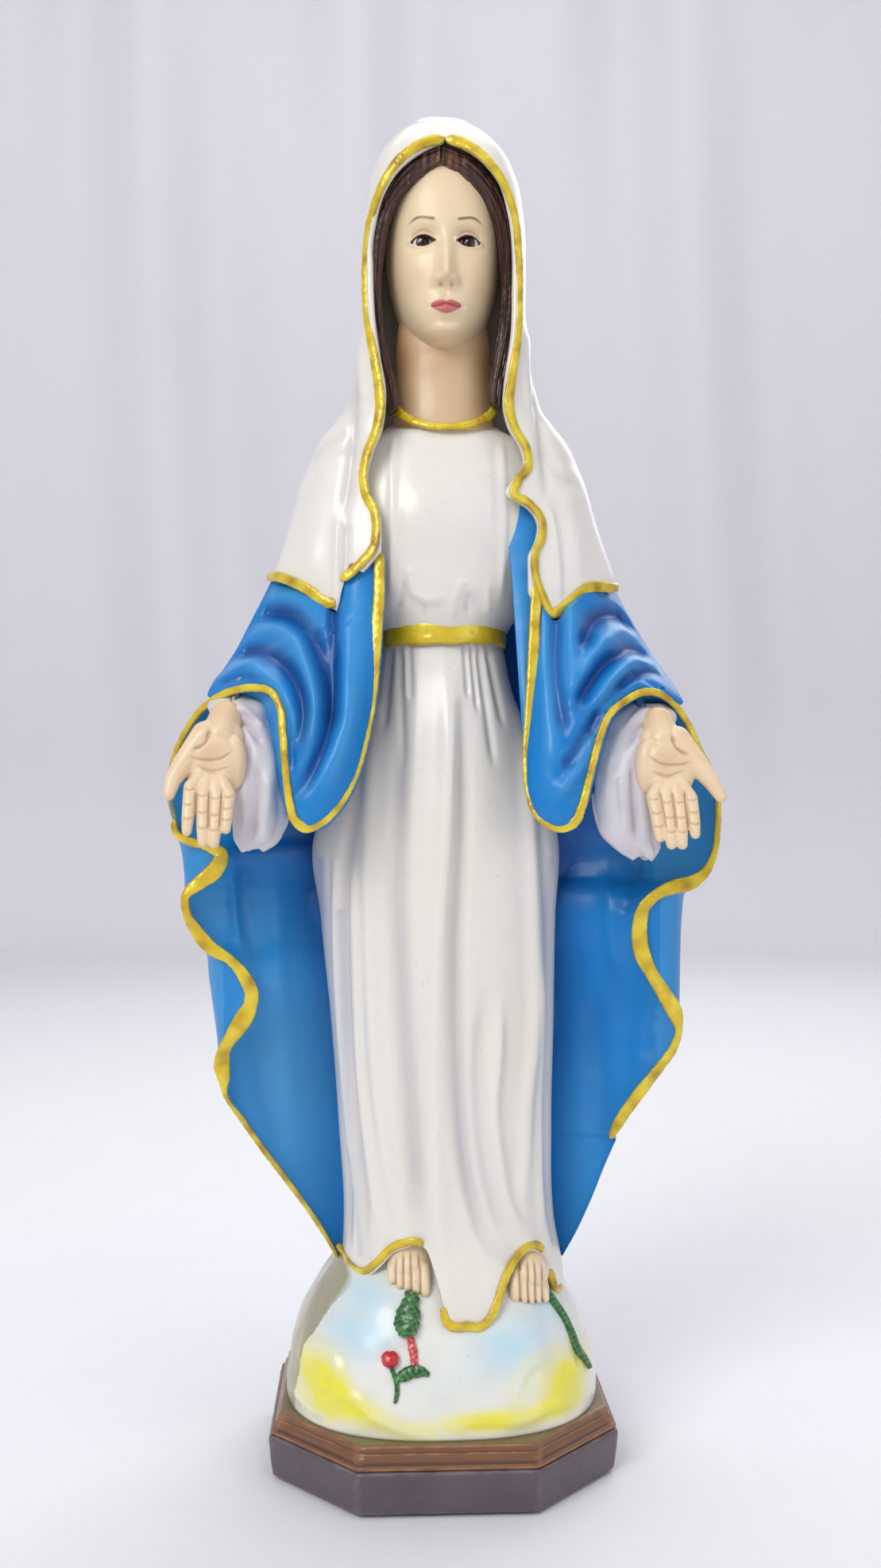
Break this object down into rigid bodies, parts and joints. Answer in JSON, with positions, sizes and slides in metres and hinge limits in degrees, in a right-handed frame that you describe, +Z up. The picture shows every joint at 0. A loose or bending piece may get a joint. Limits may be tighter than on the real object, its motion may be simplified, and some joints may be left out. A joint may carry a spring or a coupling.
{
  "type": "madonna statue",
  "caption": "Standing robed madonna with a veil, an open mantle and lowered open hands, on a globe with a serpent and an eight-sided plinth.",
  "frame": {"origin": "middle of the plinth's felt underside, at the mount base", "axes": "+Z up along the figure, -Y the way the figure faces, +X to the right of a person facing it"},
  "size_m": [0.2447, 0.15, 0.6],
  "materials": {
    "white_paint": "gloss painted resin, warm white",
    "blue_paint": "gloss painted resin, airbrushed light to deep blue",
    "gold_paint": "semi-gloss gold-yellow paint, brown in the creases",
    "flesh_paint": "satin flesh paint, brown in the creases",
    "brown_hair_paint": "satin dark brown paint with golden highlights",
    "green_paint": "gloss green paint",
    "red_paint": "gloss red paint",
    "mauve_plinth_paint": "satin mauve-grey paint with small chips",
    "bronze_moulding_paint": "satin bronze paint with copper edges and an olive top",
    "eye_glass": "polished dark brown glass",
    "black_felt": "matte felt",
    "steel": "plain zinc-plated steel"
  },
  "bodies": {
    "root": {"apple": "red_paint", "apple_leaf": "green_paint", "apple_stem": "green_paint", "belt": "gold_paint", "collar_trim": "gold_paint", "fixing_bolt": "steel", "fixing_washer": "steel", "foot_felt": "black_felt", "foot_left": "flesh_paint", "foot_right": "flesh_paint", "glass_eye_left": "eye_glass", "glass_eye_right": "eye_glass", "globe": "white_paint", "hair_left": "brown_hair_paint", "hair_right": "brown_hair_paint", "hand_left": "flesh_paint", "hand_pin_left": "steel", "hand_pin_right": "steel", "hand_right": "flesh_paint", "head": "flesh_paint", "hem_trim_left": "gold_paint", "hem_trim_right": "gold_paint", "hem_trim_side": "gold_paint", "mantle": "blue_paint", "mantle_edge_trim_left": "gold_paint", "mantle_edge_trim_right": "gold_paint", "mantle_front_trim_left": "gold_paint", "mantle_front_trim_right": "gold_paint", "plinth_block": "mauve_plinth_paint", "plinth_moulding": "bronze_moulding_paint", "robe_bodice": "white_paint", "robe_skirt": "white_paint", "serpent_head": "green_paint", "serpent_tail": "green_paint", "serpent_tongue": "red_paint", "sleeve_left": "blue_paint", "sleeve_right": "blue_paint", "under_sleeve_left": "white_paint", "under_sleeve_right": "white_paint", "veil": "white_paint", "veil_trim_left": "gold_paint", "veil_trim_right": "gold_paint"}
  },
  "joints": []
}
